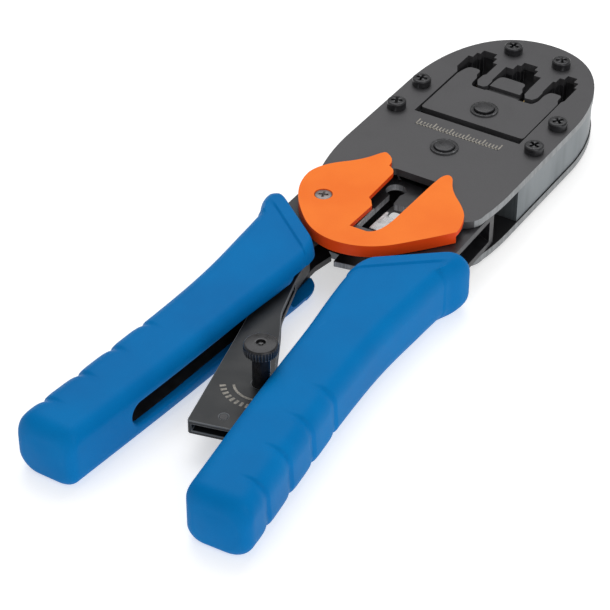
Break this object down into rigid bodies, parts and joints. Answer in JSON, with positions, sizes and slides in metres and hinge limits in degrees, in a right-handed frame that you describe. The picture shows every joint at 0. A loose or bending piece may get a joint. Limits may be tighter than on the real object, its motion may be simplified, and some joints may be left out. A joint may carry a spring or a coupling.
{
  "type": "crimping tool",
  "caption": "Hand crimping tool for modular plugs with a flat stepped-cavity head, sliding ram, wire blades, plastic guard, two sleeved handles and a ratchet lever with a release knob.",
  "frame": {"origin": "middle of the footprint, on the plane that the tool lies on", "axes": "+Y from the handle ends to the head tip, +X to the side of the moving handle, +Z away from the surface, through the thickness"},
  "size_m": [0.0676, 0.229, 0.024],
  "materials": {
    "plate_black": "satin black oxide",
    "spacer_steel": "ground blue-grey steel",
    "dark_steel": "satin black",
    "bright_steel": "bright steel",
    "lever_black": "satin black paint",
    "grip_blue": "satin moulded sleeve",
    "guard_orange": "satin moulded plastic",
    "contact_brass": "bright"
  },
  "bodies": {
    "frame": {"top_plate": "plate_black", "bottom_plate": "plate_black", "head_spacer": "spacer_steel", "die_block": "dark_steel", "head_screw_left_1": "dark_steel", "head_screw_right_1": "dark_steel", "head_screw_left_2": "dark_steel", "head_screw_right_2": "dark_steel", "head_screw_left_3": "dark_steel", "head_screw_right_3": "dark_steel", "pivot_pin": "dark_steel", "pivot_ring_front": "dark_steel", "pivot_ring_back": "dark_steel", "handle_spring": "bright_steel", "left_core": "dark_steel", "left_grip": "grip_blue", "core_rivet_1": "dark_steel", "core_rivet_2": "dark_steel", "guard_cover": "guard_orange", "cover_screw": "bright_steel", "blade_holder": "dark_steel", "fixed_blade": "bright_steel", "lever_pin": "bright_steel"},
    "ram": {"ram_top_plate": "plate_black", "ram_body": "dark_steel", "ram_bottom_plate": "plate_black", "contact_comb_6p": "contact_brass", "contact_comb_8p": "contact_brass", "contact_comb_4p": "contact_brass", "ram_pin": "dark_steel", "ram_ring_front": "dark_steel", "ram_ring_back": "dark_steel"},
    "handle": {"right_core": "dark_steel", "right_grip": "grip_blue", "ratchet_rack": "dark_steel", "moving_blade": "bright_steel", "blade_screw": "bright_steel", "link_pin": "bright_steel"},
    "link": {"toggle_link": "dark_steel"},
    "lever": {"ratchet_lever": "lever_black", "stop_pin": "dark_steel"},
    "knob": {"release_knob": "lever_black", "knob_clip": "bright_steel", "pawl": "dark_steel"}
  },
  "joints": [
    {"name": "handle_hinge", "type": "hinge", "parent": "frame", "child": "handle", "pos_m": [-0.00287, 0.04669, 0.0088], "axis": [0, 0, 1], "range_deg": [-1, 18]},
    {"name": "ram_slide", "type": "slide", "parent": "frame", "child": "ram", "axis": [0, 1, 0], "range_m": [-0.00302, 0.00018]},
    {"name": "link_hinge", "type": "hinge", "parent": "handle", "child": "link", "pos_m": [-0.01238, 0.04819, 0.0088], "axis": [0, 0, 1], "range_deg": [-18.1, 1.1]},
    {"name": "lever_hinge", "type": "hinge", "parent": "frame", "child": "lever", "pos_m": [-0.01547, -0.01531, 0.0088], "axis": [0, 0, 1], "range_deg": [-2, 34.3]},
    {"name": "knob_turn", "type": "hinge", "parent": "lever", "child": "knob", "pos_m": [0.00692, -0.06531, 0.0088], "axis": [0, 0, 1], "range_deg": [-25, 0], "stiffness_Nm_per_rad": 0.004}
  ],
  "couplings": [
    {"joint": "ram_slide", "follows": "handle_hinge", "m_per_rad": -0.00958},
    {"joint": "link_hinge", "follows": "handle_hinge", "ratio": -1},
    {"joint": "lever_hinge", "follows": "handle_hinge", "ratio": 1.9}
  ]
}
